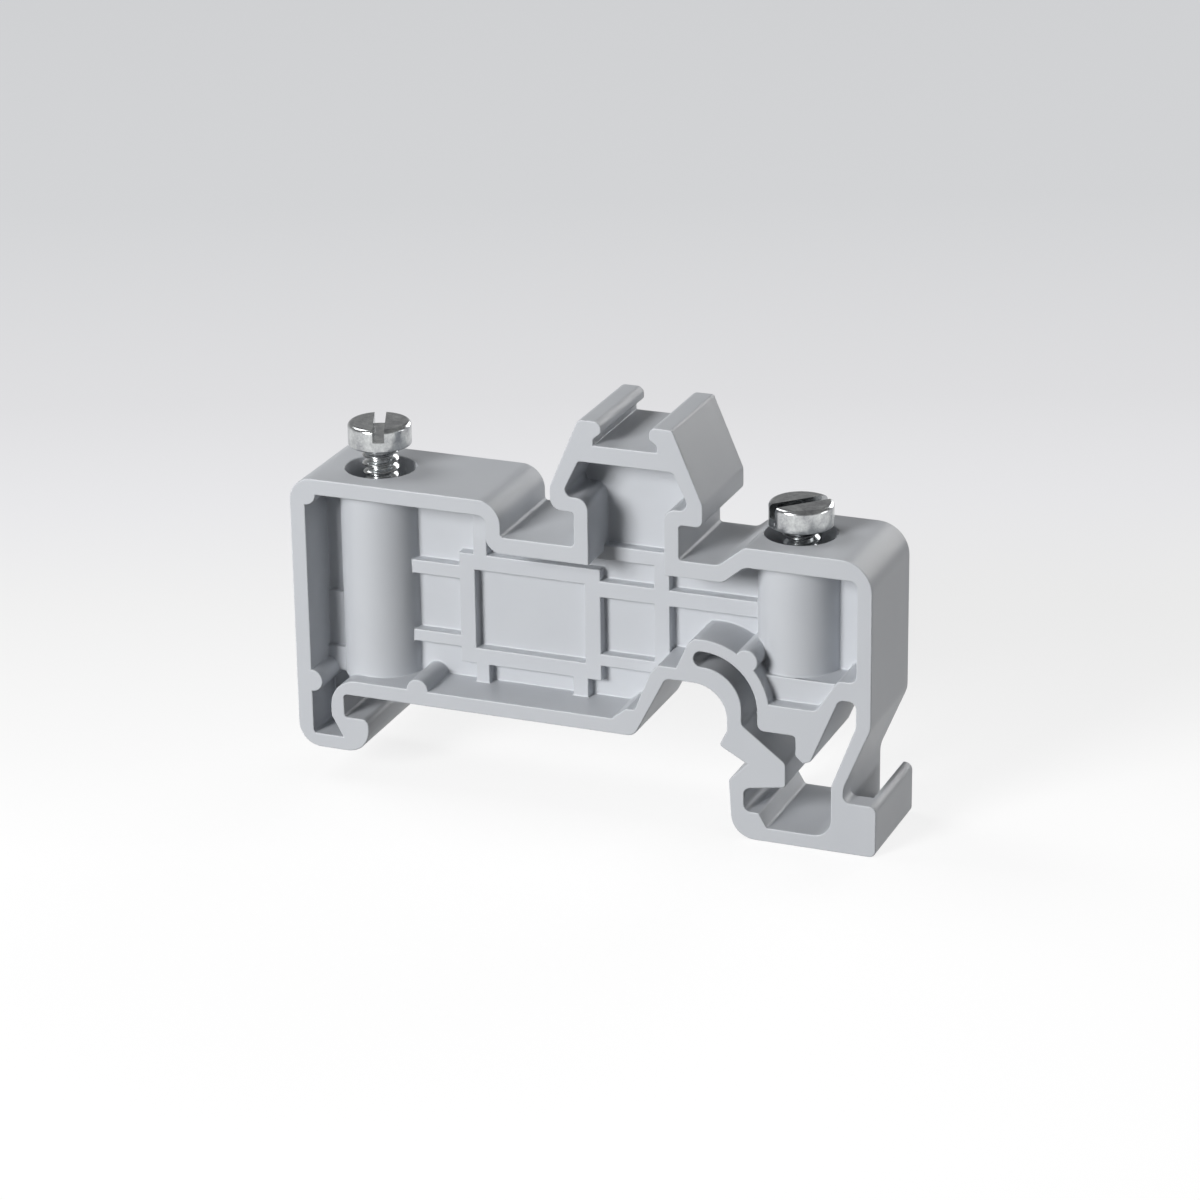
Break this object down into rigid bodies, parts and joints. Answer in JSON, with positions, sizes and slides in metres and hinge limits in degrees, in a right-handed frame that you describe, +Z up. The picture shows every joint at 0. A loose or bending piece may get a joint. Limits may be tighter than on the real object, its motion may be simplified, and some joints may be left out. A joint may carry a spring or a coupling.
{
  "type": "din rail end stop",
  "caption": "Moulded end clamp for a 35 mm mounting rail, with a sprung foot, two clamping screws in sunk bosses, a ribbed open side and a raised marker carrier",
  "frame": {"origin": "On the seat that rests on the rail's lips: X at the middle of the 35 mm rail, Y at mid-depth of the moulding, Z at the seat", "axes": "+X across the rail towards the sprung foot, +Y along the rail from the ribbed open side to the shallower side, +Z up, away from the rail"},
  "size_m": [0.0502, 0.0094, 0.0338],
  "materials": {
    "grey_polyamide": "satin moulded light grey polyamide",
    "plated_steel": "bright zinc plating"
  },
  "bodies": {
    "moulding": {"end_stop_moulding": "grey_polyamide"},
    "left_screw": {"clamp_screw_left": "plated_steel"},
    "right_screw": {"clamp_screw_right": "plated_steel"}
  },
  "joints": [
    {"name": "left_screw_travel", "type": "slide", "parent": "moulding", "child": "left_screw", "axis": [0, 0, 1], "range_m": [-0.00155, 0.005]},
    {"name": "right_screw_travel", "type": "slide", "parent": "moulding", "child": "right_screw", "axis": [0, 0, 1], "range_m": [-0.0014, 0.005]}
  ]
}
